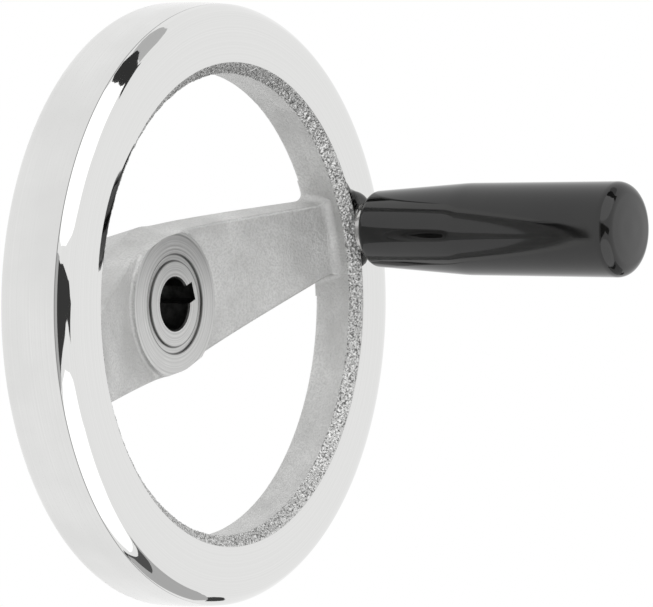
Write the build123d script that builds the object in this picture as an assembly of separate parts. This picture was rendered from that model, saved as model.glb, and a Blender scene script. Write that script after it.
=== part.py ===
from build123d import *

import math
import os

# Machine handwheel with a revolving crank grip, millimetres.
# The origin is the centre of the hub's back face, on the bore axis. The bore
# axis runs along Y, the rim's polished face and the grip are towards -Y, and
# Z is up. Every piece is drawn with the bore axis along Z and turned at the end.

# Wheel, overall
RIM_DIAMETER = 160.0
WHEEL_DEPTH = 40.0              # hub's back face to the crest of the rim's face

# Rim section
RIM_WIDTH = 21.5                # along the bore axis
RIM_THICKNESS = 18.2            # from the windows' wall to the outer edge
RIM_BACK_RADIUS = 3.0
RIM_BACK_LAND = 0.7             # flat between the back radius and the bevel
RIM_BEVEL_ANGLE = 28.0          # cast bevel on the back, from the face's plane
FACE_INSET = 2.2                # face's inner edge, outwards from the windows' wall
LIP_RISE = 0.65                 # rough lip of the casting, inwards from the windows' wall
LIP_SETBACK = 2.7               # lip's edge behind the crest
LIP_RUN_SETBACK = 8.0           # where the windows' wall starts to rise to the lip
LIP_EDGE_RADIUS = 0.4
RIM_EDGE_BREAK = 0.25           # face to the lip's bevel
CAST_EDGE_RADIUS = 0.8          # where two drafts meet at a parting line

# Crowned rim face, polished: a rolled inner edge, a gentle rise, a crest and a fall
FACE_ROLL_WIDTH = 0.65
FACE_ROLL_ANGLE = 8.6           # from the face's plane
FACE_ROLL_RADIUS = 6.0
FACE_RISE_WIDTH = 1.6
FACE_RISE_ANGLE = 2.4
FACE_CREST_RADIUS = 20.0
FACE_FALL_ANGLE = 1.35

# Outer corner of the rim: two rounds that meet on a soft shoulder, then a crisp
# edge on a tread that falls a little towards it. Insets are inwards from the
# rim's outer edge and setbacks are behind the crest.
CORNER_FOOT_INSET = 5.9         # where the first round leaves the face
CORNER_SHOULDER_INSET = 2.8
CORNER_SHOULDER_SETBACK = 1.0
CORNER_SHOULDER_RADIUS = 1.0
CORNER_ROUND_RADIUS = 7.1       # second round, from the shoulder to the edge
CORNER_EDGE_INSET = 0.5
CORNER_EDGE_SETBACK = 3.9
TREAD_FALL_SETBACK = 10.0       # where the tread starts to fall
TREAD_FALL_RADIUS = 40.0

# Seat spot-faced in the rim's face for the spindle's collar
SEAT_DIAMETER = 14.7
SEAT_SETBACK = 0.25             # behind the crest

# Hub
HUB_LENGTH = 20.5
HUB_BACK_DIAMETER = 36.0
HUB_PARTING_DIAMETER = 41.4     # widest, where the drafts from both ends meet
HUB_PARTING_HEIGHT = 11.0       # above the back face
HUB_NOSE_DIAMETER = 36.4        # casting at the front end
HUB_FACE_DIAMETER = 38.8        # turned front face, where it runs onto the webs
HUB_CHAMFER = 0.8
BORE_DIAMETER = 14.0
BORE_CHAMFER = 0.4              # front end; the back end is square
KEYWAY_WIDTH = 5.0
KEYWAY_DEPTH = 2.6              # from the bore's wall to the floor
KEYWAY_ANGLE = 22.0             # from +X
GROOVE_DIAMETER = 24.8          # middle of the ring groove in the front face
GROOVE_WIDTH = 1.8
GROOVE_DEPTH = 0.5

# Two opposite spokes
SPOKE_ANGLE = 17.4              # from +X, grip side
SPOKE_ROOT_WIDTH = 37.2         # front, where the straight edges cross the hub's axis
SPOKE_TIP_WIDTH = 18.8          # front, at the windows' wall
SPOKE_DRAFT = 9.0               # each side wall, wider towards the back
STEP_RUN = 0.5                  # radial run of the step round the hub's face
WEB_ROOT_SETBACK = 1.3          # front surface behind the hub's face
WEB_TIP_SETBACK = 6.7           # front surface behind the rim's face
WEB_ROOT_THICKNESS = 9.7
WEB_TIP_THICKNESS = 7.8
WEB_FILLET = 3.0                # front and back, web to rim
HUB_FILLET = 2.5                # back, web to hub
STEP_FILLET = 0.8               # foot of the step round the hub's face
SPOKE_CORNER_RADIUS = 2.0       # window corners, seen from the front
SPOKE_EDGE_RADIUS = 0.7

# Crank grip
GRIP_INSET = 10.8               # grip axis, inwards from the rim's outer edge
GRIP_LENGTH = 80.0
GRIP_BASE_DIAMETER = 20.6
GRIP_SHOULDER_DIAMETER = 25.0
GRIP_SHOULDER_HEIGHT = 30.1     # above the base
GRIP_END_DIAMETER = 25.8
GRIP_BASE_RADIUS = 2.0
GRIP_SHOULDER_RADIUS = 60.0
GRIP_END_RADIUS = 2.0
GRIP_CROWN = 1.25               # rise of the domed end
GRIP_END_WALL = 14.0            # crown to the bottom of the blind bore
GRIP_BORE_CHAMFER = 0.6

# Grip spindle
SHANK_DIAMETER = 10.0
SHANK_CHAMFER = 0.8
COLLAR_DIAMETER = 14.0
COLLAR_LENGTH = 2.35
COLLAR_CHAMFER = 0.25
STUD_DIAMETER = 10.0            # outside of the screw thread
STUD_LENGTH = 16.0
STUD_CHAMFER = 1.0
SOCKET_ACROSS_FLATS = 5.0
SOCKET_DEPTH = 5.0

# Retaining ring, sprung wire
RING_WIRE = 1.5
RING_SETBACK = 10.0             # wire's middle from the shank's end
RING_OPENING = 22.0             # degrees between the wire's ends

# Clearances
SHANK_CLEARANCE = 0.05          # radial, shank to the grip's bore
GRIP_END_PLAY = 0.3             # grip's base to the collar
SHANK_END_GAP = 6.0             # shank's end to the bottom of the grip's bore
STUD_CLEARANCE = 0.04           # radial, stud to the tapped hole
RING_ROOT_CLEARANCE = 0.1       # radial, wire to the spindle's groove
RING_SIDE_CLEARANCE = 0.1       # each side, wire to the spindle's groove
RING_GRIP_CLEARANCE = 0.4       # radial, wire to the grip's groove
RING_GRIP_PLAY = 0.3            # each side, wire to the grip's groove

# Joining of the bodies
BURY = 0.15                     # the web's ends run this far inside the rim and hub
OVERRUN = 1.0                   # cutting and joining bodies run this far past a face
WEB_COVER = 0.6                 # lip's edge to the web's buried end
SPOKE_EDGE_LENGTH = 10.0        # shortest edge that counts as a spoke's long edge

# Sizes that follow
RIM_RADIUS = RIM_DIAMETER / 2
WALL_RADIUS = RIM_RADIUS - RIM_THICKNESS
FACE_HEIGHT = WHEEL_DEPTH
FACE_RISE_FOOT = FACE_HEIGHT - FACE_RISE_WIDTH * math.tan(math.radians(FACE_RISE_ANGLE))
FACE_INNER_RADIUS = WALL_RADIUS + FACE_INSET
FACE_INNER_HEIGHT = FACE_RISE_FOOT - FACE_ROLL_WIDTH * math.tan(math.radians(FACE_ROLL_ANGLE))
LIP_EDGE = (WALL_RADIUS - LIP_RISE, FACE_HEIGHT - LIP_SETBACK)
LIP_FOOT = (WALL_RADIUS, FACE_HEIGHT - LIP_RUN_SETBACK)
LIP_SLOPE = (LIP_EDGE[1] - LIP_FOOT[1]) / (LIP_EDGE[0] - LIP_FOOT[0])
SEAT_HEIGHT = FACE_HEIGHT - SEAT_SETBACK
RIM_BACK_HEIGHT = WHEEL_DEPTH - RIM_WIDTH
BEVEL_START = RIM_RADIUS - RIM_BACK_RADIUS - RIM_BACK_LAND
BEVEL_SLOPE = math.tan(math.radians(RIM_BEVEL_ANGLE))
BORE_RADIUS = BORE_DIAMETER / 2
GRIP_AXIS_RADIUS = RIM_RADIUS - GRIP_INSET
GRIP_BASE_HEIGHT = COLLAR_LENGTH + GRIP_END_PLAY
GRIP_BORE_RADIUS = SHANK_DIAMETER / 2 + SHANK_CLEARANCE
GRIP_BORE_END = GRIP_BASE_HEIGHT + GRIP_LENGTH - GRIP_END_WALL
SHANK_END = GRIP_BORE_END - SHANK_END_GAP
RING_AXIS_HEIGHT = SHANK_END - RING_SETBACK
RING_RADIUS = SHANK_DIAMETER / 2 + SHANK_CLEARANCE / 2


def bevel_height(radius):
    """Height of the rim's back bevel at a radius."""
    return RIM_BACK_HEIGHT + (BEVEL_START - radius) * BEVEL_SLOPE


def turned(points, radii):
    """Solid of revolution about Z from a closed (radius, height) outline."""
    outline = FilletPolyline(*points, radius=radii, close=True)
    return revolve(Plane.XZ * make_face(outline), Axis.Z)


def crossing(point_a, slope_a, point_b, slope_b):
    """Where two (radius, height) lines meet, each a point and a height per radius."""
    rise = point_b[1] - point_a[1] + slope_a * point_a[0] - slope_b * point_b[0]
    radius = rise / (slope_a - slope_b)
    return (radius, point_a[1] + slope_a * (radius - point_a[0]))


def rim():
    """Rim: turned crowned face, outer corner and tread, cast back bevel and lip."""
    fall = math.tan(math.radians(FACE_FALL_ANGLE))
    crest_radius = FACE_INNER_RADIUS + FACE_ROLL_WIDTH + FACE_RISE_WIDTH
    foot_radius = RIM_RADIUS - CORNER_FOOT_INSET
    foot = (foot_radius, FACE_HEIGHT - (foot_radius - crest_radius) * fall)
    shoulder = (RIM_RADIUS - CORNER_SHOULDER_INSET, FACE_HEIGHT - CORNER_SHOULDER_SETBACK)
    edge = (RIM_RADIUS - CORNER_EDGE_INSET, FACE_HEIGHT - CORNER_EDGE_SETBACK)
    corners = [
        ((RIM_RADIUS, FACE_HEIGHT - TREAD_FALL_SETBACK), TREAD_FALL_RADIUS),
        ((RIM_RADIUS, RIM_BACK_HEIGHT), RIM_BACK_RADIUS),
        ((BEVEL_START, RIM_BACK_HEIGHT), 0),
        ((WALL_RADIUS, bevel_height(WALL_RADIUS)), CAST_EDGE_RADIUS),
        (LIP_FOOT, 0),
        (LIP_EDGE, LIP_EDGE_RADIUS),
        ((FACE_INNER_RADIUS, FACE_INNER_HEIGHT), RIM_EDGE_BREAK),
        ((FACE_INNER_RADIUS + FACE_ROLL_WIDTH, FACE_RISE_FOOT), FACE_ROLL_RADIUS),
        ((crest_radius, FACE_HEIGHT), FACE_CREST_RADIUS),
    ]
    points = [edge] + [point for point, radius in corners] + [foot]
    around = FilletPolyline(*points, radius=[radius for point, radius in corners])
    first_round = TangentArc(foot, shoulder, tangent=(1, -fall))
    second_round = RadiusArc(shoulder, edge, CORNER_ROUND_RADIUS)
    outline = make_face(Curve() + [around, first_round, second_round])
    soft = outline.vertices().sort_by_distance((*shoulder, 0))[0]
    outline = fillet(soft, CORNER_SHOULDER_RADIUS)
    return revolve(Plane.XZ * outline, Axis.Z)


def hub():
    """Hub body, drafted from its parting line to both ends."""
    back = HUB_BACK_DIAMETER / 2
    points = [
        (0, 0),
        (back - HUB_CHAMFER, 0),
        (back, HUB_CHAMFER),
        (HUB_PARTING_DIAMETER / 2, HUB_PARTING_HEIGHT),
        (HUB_NOSE_DIAMETER / 2, HUB_LENGTH),
        (0, HUB_LENGTH),
    ]
    return turned(points, [0, 0, 0, CAST_EDGE_RADIUS, 0, 0])


def web_slab():
    """Dished slab that the spokes are cut from, filleted to the rim and the hub."""
    face_edge = HUB_FACE_DIAMETER / 2
    root_height = HUB_LENGTH - WEB_ROOT_SETBACK
    root_radius = face_edge + STEP_RUN
    tip_height = FACE_HEIGHT - WEB_TIP_SETBACK
    front_slope = (tip_height - root_height) / (WALL_RADIUS - root_radius)
    front_foot = crossing((root_radius, root_height), front_slope, LIP_FOOT, LIP_SLOPE)
    wall_top = LIP_EDGE[1] - WEB_COVER
    wall_end = LIP_EDGE[0] - WEB_COVER / LIP_SLOPE + BURY

    back_root = (root_radius, root_height - WEB_ROOT_THICKNESS)
    back_tip = (WALL_RADIUS, tip_height - WEB_TIP_THICKNESS)
    back_slope = (back_tip[1] - back_root[1]) / (back_tip[0] - back_root[0])
    bevel_point = (WALL_RADIUS, bevel_height(WALL_RADIUS) + BURY)
    rim_foot = crossing(back_tip, back_slope, bevel_point, -BEVEL_SLOPE)
    buried = rim_foot[0] + WEB_FILLET + OVERRUN

    hub_back = HUB_BACK_DIAMETER / 2
    hub_slope = (HUB_PARTING_HEIGHT - HUB_CHAMFER) / (HUB_PARTING_DIAMETER / 2 - hub_back)
    hub_foot = crossing(back_root, back_slope, (hub_back, HUB_CHAMFER), hub_slope)
    points = [
        (0, HUB_LENGTH),
        (face_edge, HUB_LENGTH),
        (root_radius, root_height),
        front_foot,
        (wall_end, wall_top),
        (buried, wall_top),
        (buried, bevel_height(buried) + BURY),
        rim_foot,
        hub_foot,
        (hub_back - BURY, HUB_CHAMFER),
        (0, HUB_CHAMFER),
    ]
    radii = [0, 0, STEP_FILLET, WEB_FILLET, 0, 0, 0, WEB_FILLET, HUB_FILLET, 0, 0]
    return turned(points, radii)


def spoke_outline(height):
    """Both spokes cut at a height: straight tapering edges, round the hub."""
    widening = math.tan(math.radians(SPOKE_DRAFT))
    root_height = HUB_LENGTH - WEB_ROOT_SETBACK
    tip_height = FACE_HEIGHT - WEB_TIP_SETBACK
    root = SPOKE_ROOT_WIDTH / 2 + (root_height - height) * widening
    tip = SPOKE_TIP_WIDTH / 2 + (tip_height - height) * widening
    taper = math.atan((root - tip) / WALL_RADIUS)
    edge = root * math.cos(taper)
    reach = WALL_RADIUS - SPOKE_CORNER_RADIUS
    offset = edge + SPOKE_CORNER_RADIUS
    turn = math.pi / 2 - taper - math.acos(offset / reach)
    touch = (WALL_RADIUS * math.cos(turn), WALL_RADIUS * math.sin(turn))
    run = SPOKE_CORNER_RADIUS + OVERRUN
    buried = (touch[0] - run * math.sin(turn), touch[1] + run * math.cos(turn))
    corner = crossing((0, root), -math.tan(taper), touch, -1 / math.tan(turn))
    outside = FACE_INNER_RADIUS + WEB_FILLET + OVERRUN
    quarter = [(corner, SPOKE_CORNER_RADIUS), (buried, 0), ((outside, buried[1]), 0)]
    right = quarter + [((x, -y), r) for (x, y), r in reversed(quarter)]
    left = [((-x, -y), r) for (x, y), r in right]
    loop = [((0, root), edge)] + right + [((0, -root), edge)] + left
    points = [point for point, radius in loop]
    radii = [radius for point, radius in loop]
    outline = FilletPolyline(*points, radius=radii, close=True)
    return Pos(0, 0, height) * make_face(outline)


def spokes():
    """Two dished spokes with rounded long edges."""
    sides = loft([spoke_outline(HUB_CHAMFER), spoke_outline(FACE_HEIGHT)], ruled=True)
    body = sides & web_slab()
    long_edges = [edge for edge in body.edges() if is_long_edge(edge)]
    body = fillet(long_edges, SPOKE_EDGE_RADIUS)
    return Rot(0, 0, SPOKE_ANGLE) * body


def is_long_edge(edge):
    """Whether an edge runs along a spoke's side, between the hub and the rim."""
    middle = edge.position_at(0.5)
    inside_rim = math.hypot(middle.X, middle.Y) < WALL_RADIUS - SPOKE_CORNER_RADIUS
    on_side = abs(middle.Y) > SPOKE_TIP_WIDTH / 3
    return inside_rim and on_side and edge.length > SPOKE_EDGE_LENGTH


def bore_and_keyway():
    """Shaft bore with a parallel keyway and a chamfer at its front end."""
    bore = Cylinder(BORE_RADIUS, HUB_LENGTH, align=(Align.CENTER, Align.CENTER, Align.MIN))
    mouth = Pos(0, 0, HUB_LENGTH - BORE_CHAMFER) * Cone(
        BORE_RADIUS,
        BORE_RADIUS + 2 * BORE_CHAMFER,
        2 * BORE_CHAMFER,
        align=(Align.CENTER, Align.CENTER, Align.MIN),
    )
    keyway = Box(
        BORE_RADIUS + KEYWAY_DEPTH,
        KEYWAY_WIDTH,
        HUB_LENGTH,
        align=(Align.MIN, Align.CENTER, Align.MIN),
    )
    return bore + mouth + Rot(0, 0, KEYWAY_ANGLE) * keyway


def face_groove():
    """Ring groove turned in the hub's front face."""
    outer = GROOVE_DIAMETER / 2 + GROOVE_WIDTH / 2
    inner = GROOVE_DIAMETER / 2 - GROOVE_WIDTH / 2
    ring = Circle(outer) - Circle(inner)
    return Pos(0, 0, HUB_LENGTH - GROOVE_DEPTH) * extrude(ring, 2 * GROOVE_DEPTH)


def at_grip(solid):
    """Moves a piece drawn about Z, with the collar's seat at zero, to the grip axis."""
    return Rot(0, 0, SPOKE_ANGLE) * Pos(GRIP_AXIS_RADIUS, 0, SEAT_HEIGHT) * solid


def wheel():
    """One casting: rim, two spokes and hub, then bored, broached and tapped."""
    body = rim() + hub() + spokes()
    body -= bore_and_keyway()
    body -= face_groove()
    seat = extrude(Circle(SEAT_DIAMETER / 2), SEAT_SETBACK + OVERRUN)
    tapped = Cylinder(STUD_DIAMETER / 2 + STUD_CLEARANCE, 2 * (RIM_WIDTH + OVERRUN))
    return body - at_grip(seat) - at_grip(tapped)


def grip_spindle():
    """Steel spindle: screwed stud, collar and plain shank with a ring groove."""
    shank = SHANK_DIAMETER / 2
    collar = COLLAR_DIAMETER / 2
    stud = STUD_DIAMETER / 2
    root = RING_RADIUS - RING_WIRE / 2 - RING_ROOT_CLEARANCE
    half = RING_WIRE / 2 + RING_SIDE_CLEARANCE
    points = [
        (0, -STUD_LENGTH),
        (stud - STUD_CHAMFER, -STUD_LENGTH),
        (stud, STUD_CHAMFER - STUD_LENGTH),
        (stud, 0),
        (collar - COLLAR_CHAMFER, 0),
        (collar, COLLAR_CHAMFER),
        (collar, COLLAR_LENGTH - COLLAR_CHAMFER),
        (collar - COLLAR_CHAMFER, COLLAR_LENGTH),
        (shank, COLLAR_LENGTH),
        (shank, RING_AXIS_HEIGHT - half),
        (root, RING_AXIS_HEIGHT - half),
        (root, RING_AXIS_HEIGHT + half),
        (shank, RING_AXIS_HEIGHT + half),
        (shank, SHANK_END - SHANK_CHAMFER),
        (shank - SHANK_CHAMFER, SHANK_END),
        (0, SHANK_END),
    ]
    body = revolve(Plane.XZ * make_face(Polyline(*points, close=True)), Axis.Z)
    hexagon = RegularPolygon(SOCKET_ACROSS_FLATS / 2, 6, major_radius=False)
    socket = Pos(0, 0, -STUD_LENGTH) * extrude(hexagon, SOCKET_DEPTH)
    return at_grip(body - socket)


def grip():
    """Moulded grip: tapered neck, nearly parallel body and domed end, blind bore."""
    base = GRIP_BASE_HEIGHT
    end = base + GRIP_LENGTH
    rim_height = end - GRIP_CROWN
    end_radius = GRIP_END_DIAMETER / 2
    dome = (end_radius ** 2 + GRIP_CROWN ** 2) / (2 * GRIP_CROWN)
    half_chord = end_radius / 2
    mid_height = end - dome + math.sqrt(dome ** 2 - half_chord ** 2)
    sides = Polyline(
        (0, end),
        (0, base),
        (GRIP_BASE_DIAMETER / 2, base),
        (GRIP_SHOULDER_DIAMETER / 2, base + GRIP_SHOULDER_HEIGHT),
        (end_radius, rim_height),
    )
    crown = ThreePointArc((end_radius, rim_height), (half_chord, mid_height), (0, end))
    outline = make_face(Curve() + [sides, crown])
    corners = outline.vertices()
    outline = fillet(corners.sort_by_distance((end_radius, rim_height, 0))[0], GRIP_END_RADIUS)
    corners = outline.vertices()
    shoulder = (GRIP_SHOULDER_DIAMETER / 2, base + GRIP_SHOULDER_HEIGHT, 0)
    outline = fillet(corners.sort_by_distance(shoulder)[0], GRIP_SHOULDER_RADIUS)
    corners = outline.vertices()
    outline = fillet(corners.sort_by_distance((GRIP_BASE_DIAMETER / 2, base, 0))[0], GRIP_BASE_RADIUS)
    body = revolve(Plane.XZ * outline, Axis.Z)
    return at_grip(body - grip_bore())


def grip_bore():
    """Blind bore for the shank, with an entry chamfer and the ring's groove."""
    base = GRIP_BASE_HEIGHT
    bore = GRIP_BORE_RADIUS
    groove = RING_RADIUS + RING_WIRE / 2 + RING_GRIP_CLEARANCE
    half = RING_WIRE / 2 + RING_GRIP_PLAY
    points = [
        (0, base - OVERRUN),
        (bore + GRIP_BORE_CHAMFER + OVERRUN, base - OVERRUN),
        (bore, base + GRIP_BORE_CHAMFER),
        (bore, RING_AXIS_HEIGHT - half),
        (groove, RING_AXIS_HEIGHT - half),
        (groove, RING_AXIS_HEIGHT + half),
        (bore, RING_AXIS_HEIGHT + half),
        (bore, GRIP_BORE_END),
        (0, GRIP_BORE_END),
    ]
    return revolve(Plane.XZ * make_face(Polyline(*points, close=True)), Axis.Z)


def retaining_ring():
    """Open wire ring between the spindle's groove and the grip's groove."""
    section = Plane.XZ * Pos(RING_RADIUS, 0) * Circle(RING_WIRE / 2)
    ring = revolve(section, Axis.Z, 360 - RING_OPENING)
    return at_grip(Pos(0, 0, RING_AXIS_HEIGHT) * ring)


def main():
    """Writes one STEP file for each piece."""
    os.makedirs("parts", exist_ok=True)
    pieces = {
        "wheel": wheel(),
        "grip_spindle": grip_spindle(),
        "grip": grip(),
        "retaining_ring": retaining_ring(),
    }
    for name, solid in pieces.items():
        export_step(Rot(90, 0, 0) * solid, f"parts/{name}.step")


main()
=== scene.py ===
import math

import bmesh
import bpy
from mathutils import Matrix, Vector


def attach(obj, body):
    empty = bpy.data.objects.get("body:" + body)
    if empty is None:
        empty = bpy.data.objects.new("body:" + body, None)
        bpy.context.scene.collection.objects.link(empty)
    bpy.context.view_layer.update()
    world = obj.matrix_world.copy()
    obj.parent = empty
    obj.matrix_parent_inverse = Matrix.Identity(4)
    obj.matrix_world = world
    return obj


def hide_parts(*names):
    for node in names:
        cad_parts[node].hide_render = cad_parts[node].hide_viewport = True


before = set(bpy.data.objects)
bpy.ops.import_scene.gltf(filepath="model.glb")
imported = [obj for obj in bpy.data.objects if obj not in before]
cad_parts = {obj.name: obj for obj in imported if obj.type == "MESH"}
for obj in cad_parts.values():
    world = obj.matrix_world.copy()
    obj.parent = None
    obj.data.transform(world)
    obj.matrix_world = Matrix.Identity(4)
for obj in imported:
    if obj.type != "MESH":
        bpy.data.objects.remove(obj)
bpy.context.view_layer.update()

# Machine handwheel with a revolving grip, in metres. The hub's back face is at
# y = 0, the wheel's axis runs along Y and the rim's polished face looks towards -Y.

MM = 0.001
SLACK = 0.03 * MM                # a corner this near an edge counts as on it
AXIS = Vector((0.0, 0.0, 0.0))   # a point on the wheel's axis

# Places on the wheel that its finishes and skins follow, as radius and y
FACE_INNER = (64.0 * MM, -39.84 * MM)       # face's inner edge, where the lip's bevel starts
LIP_EDGE = (61.15 * MM, -37.3 * MM)         # innermost edge of the rough lip
LIP_FOOT = (61.8 * MM, -32.0 * MM)          # windows' wall, behind the lip
CORNER_FOOT = (74.1 * MM, -39.815 * MM)     # rim's outer corner: a round from here to the
CORNER_SHOULDER = (77.2 * MM, -39.0 * MM)   # shoulder, and a second round from there
CRISP_EDGE = (79.5 * MM, -36.1 * MM)        # to the crisp edge of the tread
RIM_LAND_RADIUS = 76.3 * MM                 # turned land on the rim's back
HUB_FACE_Y = -20.5 * MM
HUB_FACE_RADIUS = 19.4 * MM
GROOVE_INNER = 11.5 * MM
GROOVE_OUTER = 13.3 * MM
GROOVE_FLOOR_Y = -20.0 * MM
KEYWAY_REACH = 9.95 * MM                    # keyway's outer corners from the bore's axis
GRIP_AXIS = Vector((66.033 * MM, 0.0, 20.694 * MM))
SEAT_RADIUS = 7.35 * MM
SEAT_Y = -39.75 * MM
STUD_HOLE_RADIUS = 5.04 * MM
GRIP_BASE_Y = -42.4 * MM

SKIN_PROUD = Vector((0.02 * MM, -0.02 * MM))   # rim's skin lies this far outside the wheel

# A noise seldom leaves this range, so a pattern's full swing is taken from it
NOISE_SPAN = {"From Min": 0.35, "From Max": 0.65}

# Sockets of a Mix node that mixes colours
SHARE, FIRST, SECOND, MIXED = 0, 6, 7, 2


def linear(code):
    """Linear RGBA from an sRGB hex colour."""
    out = []
    for k in (0, 2, 4):
        s = int(code[k:k + 2], 16) / 255
        out.append(s / 12.92 if s <= 0.04045 else ((s + 0.055) / 1.055) ** 2.4)
    return (*out, 1.0)


def per(size):
    """Scale of a pattern whose features are this many millimetres apart."""
    return 1.0 / (size * MM)


def add(tree, kind, inputs=None, **settings):
    """Adds a node, sets its properties, and sets or links its inputs."""
    node = tree.nodes.new(kind)
    for name, value in settings.items():
        setattr(node, name, value)
    for key, value in (inputs or {}).items():
        if isinstance(value, bpy.types.NodeSocket):
            tree.links.new(value, node.inputs[key])
        else:
            node.inputs[key].default_value = value
    return node


def new_material(name, metallic):
    """A material with its output, its shader and Object coordinates."""
    mat = bpy.data.materials.new(name)
    mat.use_nodes = True
    tree = mat.node_tree
    tree.nodes.clear()
    place = add(tree, "ShaderNodeTexCoord").outputs["Object"]
    shader = add(tree, "ShaderNodeBsdfPrincipled", {"Metallic": metallic})
    add(tree, "ShaderNodeOutputMaterial", {"Surface": shader.outputs[0]})
    return mat, tree, place, shader


def radius_and_depth(tree, place):
    """Distance from the wheel's axis, and y."""
    parts = add(tree, "ShaderNodeSeparateXYZ", {0: place})
    flat = add(tree, "ShaderNodeCombineXYZ", {
        "X": parts.outputs["X"], "Z": parts.outputs["Z"]})
    radius = add(tree, "ShaderNodeVectorMath", {0: flat.outputs[0]}, operation="LENGTH")
    return radius.outputs["Value"], parts.outputs["Y"]


def polished_turned_aluminium():
    """Turned, then buffed: a neutral mirror, with faint rings left in a soft haze."""
    mat, tree, place, shader = new_material("polished_turned_aluminium", 1.0)
    radius, _ = radius_and_depth(tree, place)
    haze = add(tree, "ShaderNodeTexNoise", {"Vector": place, "Scale": per(9.0), "Detail": 3.0})
    rings = add(tree, "ShaderNodeTexNoise", {
        "W": radius, "Scale": per(0.5), "Detail": 2.0}, noise_dimensions="1D")
    share = add(tree, "ShaderNodeMapRange", {"Value": rings.outputs["Fac"], **NOISE_SPAN})
    body = add(tree, "ShaderNodeMix", {
        SHARE: share.outputs[0], FIRST: linear("DFDFDE"), SECOND: linear("E2E2E1"),
    }, data_type="RGBA")
    rough = add(tree, "ShaderNodeMapRange", {
        "Value": haze.outputs["Fac"], **NOISE_SPAN, "To Min": 0.02, "To Max": 0.04})
    tree.links.new(body.outputs[MIXED], shader.inputs["Base Color"])
    tree.links.new(rough.outputs[0], shader.inputs["Roughness"])
    return mat


def fine_turned_aluminium():
    """Fine turned rim: soft streaks along the feed, and painted shade in a dark band at the crisp
    edge.
    """
    mat, tree, place, shader = new_material("fine_turned_aluminium", 1.0)
    _, depth = radius_and_depth(tree, place)
    # The real feed is 0.1 mm, drawn coarser to show
    feed = add(tree, "ShaderNodeTexNoise", {
        "W": depth, "Scale": per(0.5), "Detail": 3.0}, noise_dimensions="1D")
    smear = add(tree, "ShaderNodeTexNoise", {"Vector": place, "Scale": per(24.0), "Detail": 3.0})
    patches = add(tree, "ShaderNodeMapRange", {"Value": smear.outputs["Fac"], **NOISE_SPAN})
    body = add(tree, "ShaderNodeMix", {
        SHARE: patches.outputs[0], FIRST: linear("DADAD9"), SECOND: linear("E3E3E2"),
    }, data_type="RGBA")
    streaks = add(tree, "ShaderNodeMapRange", {
        "Value": feed.outputs["Fac"], **NOISE_SPAN, "To Min": 0.0, "To Max": 0.5})
    streaked = add(tree, "ShaderNodeMix", {
        SHARE: streaks.outputs[0], FIRST: body.outputs[MIXED], SECOND: linear("DADAD9"),
    }, data_type="RGBA")
    # Painted shade: a dark colour laid along the crisp edge stands in for the shade there
    behind_edge = add(tree, "ShaderNodeMath", {0: depth, 1: CRISP_EDGE[1]}, operation="SUBTRACT")
    painted_edge_shade = add(tree, "ShaderNodeMapRange", {
        "Value": behind_edge.outputs[0],
        "From Min": 0.12 * MM, "From Max": 0.3 * MM, "To Min": 0.75, "To Max": 0.0})
    with_painted_edge_shade = add(tree, "ShaderNodeMix", {
        SHARE: painted_edge_shade.outputs[0], FIRST: streaked.outputs[MIXED], SECOND: linear("3A3A3A"),
    }, data_type="RGBA")
    rough = add(tree, "ShaderNodeMapRange", {
        "Value": feed.outputs["Fac"], **NOISE_SPAN, "To Min": 0.11, "To Max": 0.17})
    grooves = add(tree, "ShaderNodeBump", {
        "Height": feed.outputs["Fac"], "Strength": 0.06, "Distance": 0.01 * MM})
    tree.links.new(with_painted_edge_shade.outputs[MIXED], shader.inputs["Base Color"])
    tree.links.new(rough.outputs[0], shader.inputs["Roughness"])
    tree.links.new(grooves.outputs[0], shader.inputs["Normal"])
    return mat


def cast_surface(tree, place, shader, grain_size, swell_size, depth):
    """Bumps of a casting, its grain on a slower swell, with sizes in mm. Gives the grain."""
    grain = add(tree, "ShaderNodeTexNoise", {
        "Vector": place, "Scale": per(grain_size), "Detail": 2.0})
    swell = add(tree, "ShaderNodeTexNoise", {
        "Vector": place, "Scale": per(swell_size), "Detail": 2.0})
    swollen = add(tree, "ShaderNodeBump", {
        "Height": swell.outputs["Fac"], "Strength": 0.35, "Distance": depth * 2 * MM})
    grained = add(tree, "ShaderNodeBump", {
        "Height": grain.outputs["Fac"], "Strength": 0.6, "Distance": depth * MM,
        "Normal": swollen.outputs[0]})
    tree.links.new(grained.outputs[0], shader.inputs["Normal"])
    return grain.outputs["Fac"]


def sand_cast_aluminium():
    """Blasted sand casting: pale and matt with a fine grain and cloudy patches."""
    mat, tree, place, shader = new_material("sand_cast_aluminium", 0.8)
    grain = cast_surface(tree, place, shader, 0.6, 3.0, 0.3)
    cloud = add(tree, "ShaderNodeTexNoise", {"Vector": place, "Scale": per(14.0), "Detail": 3.0})
    patches = add(tree, "ShaderNodeMapRange", {"Value": cloud.outputs["Fac"], **NOISE_SPAN})
    body = add(tree, "ShaderNodeMix", {
        SHARE: patches.outputs[0], FIRST: linear("CACAC9"), SECOND: linear("DEDEDD"),
    }, data_type="RGBA")
    pits = add(tree, "ShaderNodeMapRange", {
        "Value": grain, "From Min": 0.35, "From Max": 0.6, "To Min": 0.5, "To Max": 0.0})
    pitted = add(tree, "ShaderNodeMix", {
        SHARE: pits.outputs[0], FIRST: body.outputs[MIXED], SECOND: linear("B4B4B3"),
    }, data_type="RGBA")
    rough = add(tree, "ShaderNodeMapRange", {
        "Value": grain, **NOISE_SPAN, "To Min": 0.5, "To Max": 0.62})
    tree.links.new(pitted.outputs[MIXED], shader.inputs["Base Color"])
    tree.links.new(rough.outputs[0], shader.inputs["Roughness"])
    return mat


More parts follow.
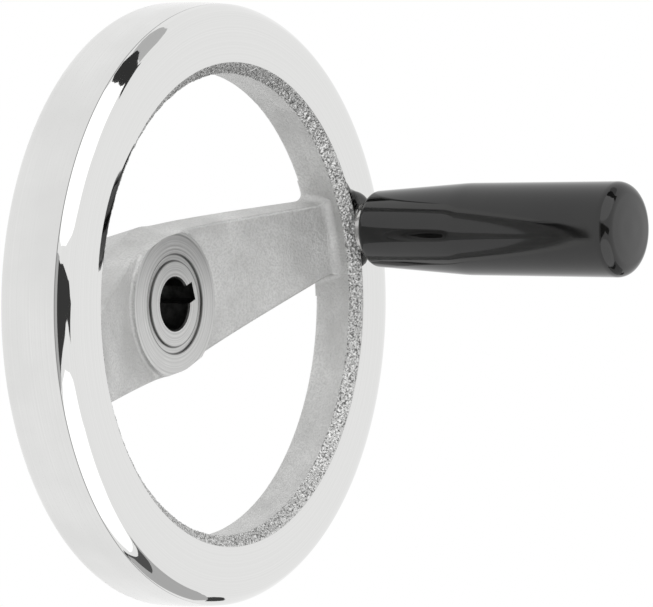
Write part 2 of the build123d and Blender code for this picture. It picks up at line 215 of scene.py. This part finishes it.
def raw_cast_skin_aluminium():
    """Raw casting skin left by the face cut: coarse grains, bright tops and dark pits."""
    mat, tree, place, shader = new_material("raw_cast_skin_aluminium", 0.8)
    grain = cast_surface(tree, place, shader, 0.5, 1.2, 0.2)
    tops = add(tree, "ShaderNodeMapRange", {"Value": grain, "From Min": 0.35, "From Max": 0.6})
    body = add(tree, "ShaderNodeMix", {
        SHARE: tops.outputs[0], FIRST: linear("6E6E6D"), SECOND: linear("E4E4E3"),
    }, data_type="RGBA")
    rough = add(tree, "ShaderNodeMapRange", {
        "Value": grain, **NOISE_SPAN, "To Min": 0.6, "To Max": 0.35})
    tree.links.new(body.outputs[MIXED], shader.inputs["Base Color"])
    tree.links.new(rough.outputs[0], shader.inputs["Roughness"])
    return mat


def faced_aluminium():
    """Faced on a lathe: fine concentric tool marks that spread each highlight."""
    mat, tree, place, shader = new_material("faced_aluminium", 1.0)
    radius, depth = radius_and_depth(tree, place)
    marks = add(tree, "ShaderNodeTexNoise", {
        "W": radius, "Scale": per(0.55), "Detail": 3.0}, noise_dimensions="1D")
    worn = add(tree, "ShaderNodeTexNoise", {"Vector": place, "Scale": per(5.0), "Detail": 3.0})
    share = add(tree, "ShaderNodeMapRange", {"Value": marks.outputs["Fac"], **NOISE_SPAN})
    ringed = add(tree, "ShaderNodeMix", {
        SHARE: share.outputs[0], FIRST: linear("C4C4C3"), SECOND: linear("E2E2E1"),
    }, data_type="RGBA")
    wear = add(tree, "ShaderNodeMapRange", {
        "Value": worn.outputs["Fac"], **NOISE_SPAN, "To Min": 0.0, "To Max": 0.5})
    body = add(tree, "ShaderNodeMix", {
        SHARE: wear.outputs[0], FIRST: ringed.outputs[MIXED], SECOND: linear("CFCFCE"),
    }, data_type="RGBA")
    # Painted shade along both edges of the ring groove in the hub's front face: a dark colour
    # stands in for the shade at the groove's edges
    in_front = add(tree, "ShaderNodeMath", {0: depth, 1: HUB_FACE_Y / 2}, operation="LESS_THAN")
    for edge in (GROOVE_INNER, GROOVE_OUTER):
        aside = add(tree, "ShaderNodeMath", {0: radius, 1: edge}, operation="SUBTRACT")
        away = add(tree, "ShaderNodeMath", {0: aside.outputs[0]}, operation="ABSOLUTE")
        near = add(tree, "ShaderNodeMapRange", {
            "Value": away.outputs[0],
            "From Min": 0.15 * MM, "From Max": 0.4 * MM, "To Min": 0.7, "To Max": 0.0})
        painted_groove_shade = add(tree, "ShaderNodeMath", {
            0: near.outputs[0], 1: in_front.outputs[0]}, operation="MULTIPLY")
        body = add(tree, "ShaderNodeMix", {
            SHARE: painted_groove_shade.outputs[0], FIRST: body.outputs[MIXED], SECOND: linear("3C3C3B"),
        }, data_type="RGBA")
    rough = add(tree, "ShaderNodeMapRange", {
        "Value": marks.outputs["Fac"], **NOISE_SPAN, "To Min": 0.36, "To Max": 0.5})
    grooves = add(tree, "ShaderNodeBump", {
        "Height": marks.outputs["Fac"], "Strength": 0.25, "Distance": 0.05 * MM})
    tree.links.new(body.outputs[MIXED], shader.inputs["Base Color"])
    tree.links.new(rough.outputs[0], shader.inputs["Roughness"])
    tree.links.new(grooves.outputs[0], shader.inputs["Normal"])
    return mat


def bored_aluminium_painted_shade():
    """Bored and broached: rings along the bore, on a dark colour that is painted shade for the
    hollow.
    """
    mat, tree, place, shader = new_material("bored_aluminium_painted_shade", 1.0)
    _, depth = radius_and_depth(tree, place)
    marks = add(tree, "ShaderNodeTexNoise", {
        "W": depth, "Scale": per(0.6), "Detail": 3.0}, noise_dimensions="1D")
    painted_shade_mottle = add(tree, "ShaderNodeTexNoise", {"Vector": place, "Scale": per(2.5), "Detail": 3.0})
    share = add(tree, "ShaderNodeMapRange", {"Value": painted_shade_mottle.outputs["Fac"], **NOISE_SPAN})
    # Painted shade: the bore's near-black colour stands in for the shade inside the hollow
    body = add(tree, "ShaderNodeMix", {
        SHARE: share.outputs[0], FIRST: linear("2C2C2B"), SECOND: linear("4A4A49"),
    }, data_type="RGBA")
    rough = add(tree, "ShaderNodeMapRange", {
        "Value": marks.outputs["Fac"], **NOISE_SPAN, "To Min": 0.35, "To Max": 0.5})
    grooves = add(tree, "ShaderNodeBump", {
        "Height": marks.outputs["Fac"], "Strength": 0.3, "Distance": 0.05 * MM})
    tree.links.new(body.outputs[MIXED], shader.inputs["Base Color"])
    tree.links.new(rough.outputs[0], shader.inputs["Roughness"])
    tree.links.new(grooves.outputs[0], shader.inputs["Normal"])
    return mat


def turned_steel():
    """Turned steel: bright, with fine rings along its length."""
    mat, tree, place, shader = new_material("turned_steel", 1.0)
    _, depth = radius_and_depth(tree, place)
    marks = add(tree, "ShaderNodeTexNoise", {
        "W": depth, "Scale": per(0.3), "Detail": 2.0}, noise_dimensions="1D")
    share = add(tree, "ShaderNodeMapRange", {"Value": marks.outputs["Fac"], **NOISE_SPAN})
    body = add(tree, "ShaderNodeMix", {
        SHARE: share.outputs[0], FIRST: linear("B5B4B3"), SECOND: linear("CBCAC9"),
    }, data_type="RGBA")
    rough = add(tree, "ShaderNodeMapRange", {
        "Value": marks.outputs["Fac"], **NOISE_SPAN, "To Min": 0.16, "To Max": 0.26})
    grooves = add(tree, "ShaderNodeBump", {
        "Height": marks.outputs["Fac"], "Strength": 0.1, "Distance": 0.02 * MM})
    tree.links.new(body.outputs[MIXED], shader.inputs["Base Color"])
    tree.links.new(rough.outputs[0], shader.inputs["Roughness"])
    tree.links.new(grooves.outputs[0], shader.inputs["Normal"])
    return mat


def moulded_phenolic():
    """Compression moulded phenolic: deep black gloss with a faint orange peel."""
    mat, tree, place, shader = new_material("moulded_phenolic_black", 0.0)
    shader.inputs["IOR"].default_value = 1.55
    peel = add(tree, "ShaderNodeTexNoise", {"Vector": place, "Scale": per(2.0), "Detail": 1.0})
    cloud = add(tree, "ShaderNodeTexNoise", {"Vector": place, "Scale": per(18.0), "Detail": 2.0})
    share = add(tree, "ShaderNodeMapRange", {"Value": cloud.outputs["Fac"], **NOISE_SPAN})
    body = add(tree, "ShaderNodeMix", {
        SHARE: share.outputs[0], FIRST: linear("0E0E0E"), SECOND: linear("131312"),
    }, data_type="RGBA")
    rough = add(tree, "ShaderNodeMapRange", {
        "Value": cloud.outputs["Fac"], **NOISE_SPAN, "To Min": 0.05, "To Max": 0.09})
    skin = add(tree, "ShaderNodeBump", {
        "Height": peel.outputs["Fac"], "Strength": 0.04, "Distance": 0.02 * MM})
    tree.links.new(body.outputs[MIXED], shader.inputs["Base Color"])
    tree.links.new(rough.outputs[0], shader.inputs["Roughness"])
    tree.links.new(skin.outputs[0], shader.inputs["Normal"])
    return mat


POLISHED, TURNED, CAST, FACED, BORED = range(5)


def finish_of(corners):
    """The finish of a triangle of the wheel, from its corners."""
    radii = [math.hypot(c.x, c.z) for c in corners]
    depths = [c.y for c in corners]
    from_grip = max((Vector((c.x, 0.0, c.z)) - GRIP_AXIS).length for c in corners)
    if from_grip < STUD_HOLE_RADIUS + SLACK:
        return BORED
    if from_grip < SEAT_RADIUS + SLACK:
        return FACED
    if min(radii) > FACE_INNER[0] - SLACK and max(depths) < CRISP_EDGE[1] + SLACK:
        return POLISHED
    if min(radii) > RIM_LAND_RADIUS - SLACK:
        return TURNED
    if max(radii) < HUB_FACE_RADIUS + SLACK and max(depths) < HUB_FACE_Y + SLACK:
        return FACED
    in_groove = min(radii) > GROOVE_INNER - SLACK and max(radii) < GROOVE_OUTER + SLACK
    if in_groove and max(depths) < GROOVE_FLOOR_Y + SLACK:
        return FACED
    if min(depths) > -SLACK:
        return FACED
    if max(radii) < KEYWAY_REACH:
        return BORED
    return CAST


def finish_wheel(obj, polished, turned):
    """Gives each face of the wheel the finish that its place calls for."""
    mesh = obj.data
    mesh.materials.clear()
    for mat in (
        polished, turned, sand_cast_aluminium(), faced_aluminium(), bored_aluminium_painted_shade(),
    ):
        mesh.materials.append(mat)
    for face in mesh.polygons:
        face.material_index = finish_of([mesh.vertices[k].co for k in face.vertices])


def lathe(name, outline, sides, centre, loop=False):
    """A body turned about Y: a circle is extruded from one (radius, y) to the next."""
    bpy.ops.object.select_all(action="DESELECT")
    radius, y = outline[0]
    bpy.ops.mesh.primitive_circle_add(
        vertices=sides, radius=radius, fill_type="NOTHING",
        location=(centre.x, y, centre.z), rotation=(math.pi / 2, 0, 0),
    )
    obj = bpy.context.object
    obj.name = name
    bpy.ops.object.mode_set(mode="EDIT")
    bpy.ops.mesh.select_mode(type="EDGE")
    bpy.ops.mesh.select_all(action="SELECT")
    if not loop:
        bpy.ops.mesh.edge_face_add()
        bpy.ops.mesh.poke()
        bpy.ops.mesh.select_all(action="DESELECT")
        bpy.ops.mesh.select_non_manifold()
    for next_radius, next_y in outline[1:]:
        bpy.ops.mesh.extrude_edges_move(TRANSFORM_OT_translate={"value": (0, next_y - y, 0)})
        size = next_radius / radius
        bpy.ops.transform.resize(
            value=(size, 1, size), center_override=(centre.x, next_y, centre.z))
        radius, y = next_radius, next_y
    if loop:
        bpy.ops.mesh.select_all(action="DESELECT")
        bpy.ops.mesh.select_non_manifold()
        bpy.ops.mesh.bridge_edge_loops()
    else:
        bpy.ops.mesh.merge(type="CENTER")
    bpy.ops.mesh.select_all(action="SELECT")
    bpy.ops.mesh.remove_doubles(threshold=1e-6)
    bpy.ops.mesh.normals_make_consistent(inside=False)
    bpy.ops.object.mode_set(mode="OBJECT")
    bpy.ops.object.transform_apply(location=True, rotation=True, scale=True)
    return obj


def spaced(outline, step):
    """The outline with points added so that none are further apart than a step."""
    points = [Vector(outline[0])]
    for place in outline[1:]:
        place, last = Vector(place), points[-1]
        count = max(1, math.ceil((place - last).length / step))
        points += [last.lerp(place, k / count) for k in range(1, count + 1)]
    return points


def rounded(corners, steps):
    """Outline through (radius, y) corners, each rounded by its own radius."""
    points = []
    for k, (corner, radius) in enumerate(corners):
        corner = Vector(corner)
        if not radius:
            points.append(corner)
            continue
        before = (Vector(corners[k - 1][0]) - corner).normalized()
        after = (Vector(corners[k + 1][0]) - corner).normalized()
        half = before.angle(after) / 2
        centre = corner + (before + after).normalized() * radius / math.sin(half)
        first = corner + before * radius / math.tan(half) - centre
        last = corner + after * radius / math.tan(half) - centre
        first, last = first.normalized(), last.normalized()
        points += [centre + first.slerp(last, j / steps) * radius for j in range(steps + 1)]
    return points


def bulge(start, end, radius, steps):
    """Arc of a radius from one (radius, y) to another, bulging to its left."""
    start, end = Vector(start), Vector(end)
    chord = end - start
    aside = Vector((-chord.y, chord.x)).normalized()
    centre = (start + end) / 2 + aside * math.sqrt(radius ** 2 - chord.length_squared / 4)
    first, last = (start - centre).normalized(), (end - centre).normalized()
    return [centre + first.slerp(last, k / steps) * radius for k in range(steps + 1)]


def soften(obj, angle):
    """Smooth shading up to an angle in degrees, with each large face keeping its own slope."""
    bpy.ops.object.shade_smooth_by_angle(angle=math.radians(angle))
    obj.modifiers.new("faces_lead", "WEIGHTED_NORMAL").keep_sharp = True
    bpy.ops.object.modifier_apply(modifier="faces_lead")


def grip_moulding():
    """Revolving grip: blind bore, tapered neck, long body and a rounded, domed end."""
    base, shoulder, end = GRIP_BASE_Y, GRIP_BASE_Y - 30.1 * MM, GRIP_BASE_Y - 80.0 * MM
    end_radius, end_round, crown = 12.88 * MM, 3.8 * MM, 0.8 * MM
    bore, bore_end = 5.05 * MM, GRIP_BASE_Y - 66.0 * MM
    groove, groove_radius, groove_half = GRIP_BASE_Y - 50.0 * MM, 6.175 * MM, 1.05 * MM
    corners = [
        ((bore, bore_end), 0),
        ((bore, groove - groove_half), 0),
        ((groove_radius, groove - groove_half), 0),
        ((groove_radius, groove + groove_half), 0),
        ((bore, groove + groove_half), 0),
        ((bore, base - 0.6 * MM), 0),
        ((bore + 0.6 * MM, base), 0),
        ((10.3 * MM, base), 2.0 * MM),
        ((12.5 * MM, shoulder), 60.0 * MM),
        ((end_radius, end + crown), end_round),
        ((end_radius / 2, end + crown / 4), 40.0 * MM),
        ((0.2 * MM, end), 0),
    ]
    outline = spaced(rounded(corners, steps=14), 2.5 * MM)
    obj = lathe("grip_moulding", outline, 160, GRIP_AXIS)
    soften(obj, 30)
    obj.data.materials.append(moulded_phenolic())
    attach(obj, "grip_body")
    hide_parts("grip")


def rim_skin(polished, turned):
    """Turned and polished skin of the rim: crowned face, corner, crisp edge and tread."""
    thickness = Vector((-0.25 * MM, 0.25 * MM))
    face = rounded([
        ((64.0 * MM, -39.8346 * MM), 0),
        ((64.65 * MM, -39.9329 * MM), 6.0 * MM),
        ((66.25 * MM, -40.0 * MM), 20.0 * MM),
        (CORNER_FOOT, 0),
    ], steps=6)
    corner = bulge(CORNER_FOOT, CORNER_SHOULDER, 6.926 * MM, 12)
    corner += bulge(CORNER_SHOULDER, CRISP_EDGE, 7.1 * MM, 16)[1:]
    tread = rounded([
        (CRISP_EDGE, 0),
        ((80.0 * MM, -30.0 * MM), 40.0 * MM),
        ((80.0 * MM, -21.6 * MM), 0),
    ], steps=10)
    outside = [p + SKIN_PROUD for p in spaced(face + corner[1:] + tread[1:], 0.7 * MM)]
    backs = (tread[-1], CRISP_EDGE, CORNER_SHOULDER, CORNER_FOOT)
    inside = [Vector(p) + thickness for p in backs] + [Vector((64.4 * MM, -39.6 * MM))]
    obj = lathe("rim_skin", outside + inside, 720, AXIS, loop=True)
    cutter_depth = 2 * MM
    bpy.ops.mesh.primitive_cylinder_add(
        vertices=96, radius=SEAT_RADIUS, depth=cutter_depth,
        location=(GRIP_AXIS.x, SEAT_Y - cutter_depth / 2, GRIP_AXIS.z),
        rotation=(math.pi / 2, 0, 0),
    )
    cutter = bpy.context.object
    bpy.context.view_layer.objects.active = obj
    seat = obj.modifiers.new("seat", "BOOLEAN")
    seat.operation = "DIFFERENCE"
    seat.object = cutter
    bpy.ops.object.modifier_apply(modifier="seat")
    bpy.data.objects.remove(cutter)
    obj.select_set(True)
    obj.data.materials.clear()
    obj.data.materials.append(polished)
    obj.data.materials.append(turned)
    for face in obj.data.polygons:
        face.material_index = int(face.center.y > CRISP_EDGE[1] + SKIN_PROUD.y)
    soften(obj, 12)
    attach(obj, "wheel_body")


def lip_skin():
    """Raw casting skin on the lip's bevel, its grains raised by displacement."""
    start, edge = Vector(FACE_INNER), Vector(LIP_EDGE)
    along = edge - start
    length = along.length
    along.normalize()
    out = Vector((-along.y, along.x))
    behind = (Vector(LIP_FOOT) - edge).normalized()
    gap, lift, steps = 0.06 * MM, 0.1 * MM, 15   # from the face's edge, and over the bevel
    skin = []
    for k in range(steps + 1):
        share = k / steps
        height = lift * min(1.0, 6 * share)
        skin.append(start + along * (gap + (length - 0.1 * MM) * share) + out * height)
    # Round the lip's edge, then back inside the rim
    skin.append(edge + behind * 0.25 * MM + Vector((-0.04 * MM, 0)))
    skin.append(edge + behind * 0.6 * MM + Vector((0.05 * MM, 0)))
    skin.append(edge + behind * 0.6 * MM + Vector((0.6 * MM, 0)))
    skin.append(start - out * 0.4 * MM + along * 0.5 * MM)
    obj = lathe("lip_skin", [tuple(p) for p in skin], 1200, AXIS, loop=True)
    # Grains fade out towards the face's edge and stay off the part inside the rim
    free = obj.vertex_groups.new(name="free")
    for v in obj.data.vertices:
        place = Vector((math.hypot(v.co.x, v.co.z), v.co.y)) - start
        if place.dot(out) > -0.1 * MM and place.x < LIP_EDGE[0] - FACE_INNER[0] + 3.2 * MM:
            free.add([v.index], min(1.0, place.dot(along) / (0.5 * MM)), "REPLACE")
    for name, kind, size, height in (
        ("grains", "VORONOI", 0.75 * MM, 0.42 * MM), ("undulation", "CLOUDS", 2.2 * MM, 0.3 * MM),
    ):
        pattern = bpy.data.textures.new(name, kind)
        pattern.noise_scale = size
        mod = obj.modifiers.new(name, "DISPLACE")
        mod.texture = pattern
        mod.texture_coords = "LOCAL"
        mod.vertex_group = "free"
        mod.strength = height
        mod.mid_level = 0.5
        bpy.ops.object.modifier_apply(modifier=name)
    bpy.ops.object.shade_smooth_by_angle(angle=math.radians(60))
    obj.data.materials.append(raw_cast_skin_aluminium())
    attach(obj, "wheel_body")


polished, turned = polished_turned_aluminium(), fine_turned_aluminium()
finish_wheel(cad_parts["wheel"], polished, turned)
steel = turned_steel()
for name in ("grip_spindle", "retaining_ring"):
    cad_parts[name].data.materials.clear()
    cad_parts[name].data.materials.append(steel)
grip_moulding()
rim_skin(polished, turned)
lip_skin()


# Stage: pale floor, white surroundings, lamps, and cards that only reflections see

WHITE = (1.0, 1.0, 1.0, 1.0)
SHADE = 0.7                                    # what matt surfaces see of the white
FLOOR_Z, FLOOR_SIZE = -0.14, 8.0
FLOOR_FADE_START, FLOOR_FADE_END = 0.35, 0.9   # floor goes to white over this distance
STAGE_CENTRE = Vector((0.0, -0.03, 0.0))       # middle of the wheel, for lamps and cards


def seen_white(tree):
    """1 for camera, glossy and transmission rays, otherwise 0."""
    path = add(tree, "ShaderNodeLightPath").outputs
    two = add(tree, "ShaderNodeMath", {
        0: path["Is Camera Ray"], 1: path["Is Glossy Ray"]}, operation="MAXIMUM")
    three = add(tree, "ShaderNodeMath", {
        0: two.outputs[0], 1: path["Is Transmission Ray"]}, operation="MAXIMUM")
    return three.outputs[0]


def surroundings():
    """White all round, dimmer for the light that falls on matt surfaces."""
    world = bpy.data.worlds.new("white_studio")
    bpy.context.scene.world = world
    world.use_nodes = True
    tree = world.node_tree
    tree.nodes.clear()
    strength = add(tree, "ShaderNodeMapRange", {
        "Value": seen_white(tree), "To Min": SHADE, "To Max": 1.0})
    back = add(tree, "ShaderNodeBackground", {"Strength": strength.outputs[0], "Color": WHITE})
    add(tree, "ShaderNodeOutputWorld", {"Surface": back.outputs[0]})


def floor():
    """Pale floor that keeps the shadow and goes to white away from the wheel."""
    bpy.ops.object.select_all(action="DESELECT")
    bpy.ops.mesh.primitive_plane_add(size=FLOOR_SIZE, location=(0, 0, FLOOR_Z))
    obj = bpy.context.object
    obj.name = "floor"
    mat = bpy.data.materials.new("pale_floor")
    mat.use_nodes = True
    tree = mat.node_tree
    tree.nodes.clear()
    place = add(tree, "ShaderNodeTexCoord").outputs["Object"]
    away = add(tree, "ShaderNodeVectorMath", {0: place}, operation="LENGTH")
    share = add(tree, "ShaderNodeMapRange", {
        "Value": away.outputs["Value"], "From Min": FLOOR_FADE_START, "From Max": FLOOR_FADE_END,
        "To Min": SHADE, "To Max": 1.0})
    amount = add(tree, "ShaderNodeMath", {
        0: share.outputs[0], 1: seen_white(tree)}, operation="MULTIPLY")
    paint = add(tree, "ShaderNodeBsdfDiffuse", {"Color": linear("F2F2F2")})
    glow = add(tree, "ShaderNodeEmission", {"Color": WHITE})
    mix = add(tree, "ShaderNodeMixShader", {
        0: amount.outputs[0], 1: paint.outputs[0], 2: glow.outputs[0]})
    add(tree, "ShaderNodeOutputMaterial", {"Surface": mix.outputs[0]})
    obj.data.materials.append(mat)
    obj.visible_glossy = False


def card(name, strength, distance, outline):
    """A card that only reflections see, its corners given as azimuth and elevation.

    It is cut into triangles while still flat, so that a hollow outline stays true
    once it lies on a sphere.
    """
    chart = bmesh.new()
    chart.faces.new([chart.verts.new((az, el, 0.0)) for az, el in outline])
    bmesh.ops.triangulate(chart, faces=chart.faces[:])
    for corner in chart.verts:
        az, el = math.radians(corner.co.x), math.radians(corner.co.y)
        flat = distance * math.cos(el)
        corner.co = STAGE_CENTRE + Vector((
            flat * math.cos(az), flat * math.sin(az), distance * math.sin(el)))
    mesh = bpy.data.meshes.new(name)
    chart.to_mesh(mesh)
    chart.free()
    obj = bpy.data.objects.new(name, mesh)
    bpy.context.collection.objects.link(obj)
    mat = bpy.data.materials.new(name)
    mat.use_nodes = True
    tree = mat.node_tree
    tree.nodes.clear()
    glow = add(tree, "ShaderNodeEmission", {"Strength": strength, "Color": WHITE})
    add(tree, "ShaderNodeOutputMaterial", {"Surface": glow.outputs[0]})
    mesh.materials.append(mat)
    obj.visible_camera = False
    obj.visible_diffuse = False
    obj.visible_shadow = False
    obj.visible_transmission = False


surroundings()
floor()

# Name, strength, distance in metres, and corners as azimuth and elevation in degrees.
# The softboxes are brighter than white; the other cards are grey or dark.
CARDS = [
    ("softbox_above", 1.5, 7.0, [
        (196, 22), (205, 19), (225, 17), (245, 17), (265, 18), (284, 22), (290, 30),
        (289, 42), (284, 50), (278, 58), (270, 68), (255, 78), (225, 82), (196, 78),
        (190, 50),
    ]),
    ("softbox_below", 1.5, 7.0, [
        (196, -34), (205, -26), (222, -20), (240, -18), (262, -17), (282, -18), (290, -26),
        (292, -40), (296, -60), (306, -74), (280, -84), (230, -84), (196, -78), (190, -50),
    ]),
    ("dark_card_by_camera", 0.05, 6.0, [
        (202, 15), (208, 13), (220, 12), (232, 9), (244, 6), (256, 4), (278, 0), (268, -7),
        (250, -6), (244, -4), (238, -5), (232, -9), (220, -14), (214, -17), (208, -20),
        (202, -24),
    ]),
    ("dim_card_by_camera", 0.5, 6.4, [
        (190, 18), (203, 15.5), (203, -24.5), (196, -29), (190, -32),
    ]),
    ("dark_card_overhead", 0.04, 6.0, [
        (297, 25), (293, 32), (290, 40), (287, 44), (283, 48), (279, 52), (276, 56),
        (273, 60), (271, 64), (265, 68), (258, 72), (252, 76), (236, 80), (220, 86),
        (350, 86), (330, 80), (325, 76), (313, 72), (307, 68), (301, 64), (298, 60),
        (296, 56), (296, 48), (298, 42), (303, 34),
    ]),
    ("grey_card_overhead", 0.56, 6.2, [
        (297, 47), (297, 66), (310, 76), (330, 80), (350, 79), (368, 74), (370, 69),
        (362, 65), (352, 63), (340, 61), (334, 58), (322, 54), (312, 50), (298, 46),
    ]),
    ("grey_card_below", 0.5, 6.2, [
        (297, -34), (299, -44), (304, -50), (304, -56), (309, -63), (313, -68), (319, -72),
        (330, -77), (352, -81), (370, -78), (374, -66), (372, -44), (360, -41), (340, -40),
        (330, -34),
    ]),
    ("dark_card_below", 0.1, 6.4, [
        (296, -40), (296, -44), (301, -51), (301, -57), (306, -65), (310, -70), (316, -75),
        (330, -80), (352, -84), (370, -82), (372, -70), (300, -40),
    ]),
    ("small_dark_card_below", 0.06, 6.0, [
        (346, -35), (350, -41), (368, -41), (364, -35),
    ]),
]
for details in CARDS:
    card(*details)


def soft_lamp(name, place, size, power):
    """A square soft lamp that looks at the wheel and isn't mirrored in it."""
    lamp = bpy.data.lights.new(name, "AREA")
    lamp.shape = "SQUARE"
    lamp.size = size
    lamp.energy = power
    obj = bpy.data.objects.new(name, lamp)
    bpy.context.collection.objects.link(obj)
    place = Vector(place)
    obj.location = place
    obj.rotation_euler = (STAGE_CENTRE - place).to_track_quat("-Z", "Y").to_euler()
    obj.visible_glossy = False


soft_lamp("key_lamp", (-1.0, -1.6, 1.6), 1.6, 26.0)
soft_lamp("fill_lamp", (1.6, -1.4, 0.4), 1.8, 10.0)


# Camera: its place and axes, and its focal length and picture's width in pixels
CAMERA_PLACE = Vector((-1.39207288, -0.93434990, 0.00753891))
CAMERA_RIGHT = Vector((0.52843833, -0.84894385, 0.00687518))
CAMERA_UP = Vector((0.0, 0.00809824, 0.99996721))
FOCAL_PIXELS, PICTURE_WIDTH = 6263.55, 653
SENSOR_WIDTH = 36.0


def camera():
    """A long lens at the camera's place, looking along its own axes."""
    cam = bpy.data.cameras.new("camera")
    cam.sensor_width = SENSOR_WIDTH
    cam.sensor_fit = "HORIZONTAL"
    cam.lens = FOCAL_PIXELS / PICTURE_WIDTH * SENSOR_WIDTH
    cam.clip_end = 50.0
    obj = bpy.data.objects.new("camera", cam)
    bpy.context.collection.objects.link(obj)
    back = CAMERA_RIGHT.cross(CAMERA_UP)
    basis = Matrix((CAMERA_RIGHT, CAMERA_UP, back)).transposed()
    obj.matrix_world = Matrix.Translation(CAMERA_PLACE) @ basis.to_4x4()
    bpy.context.scene.camera = obj


camera()
bpy.context.scene.view_settings.view_transform = "Standard"
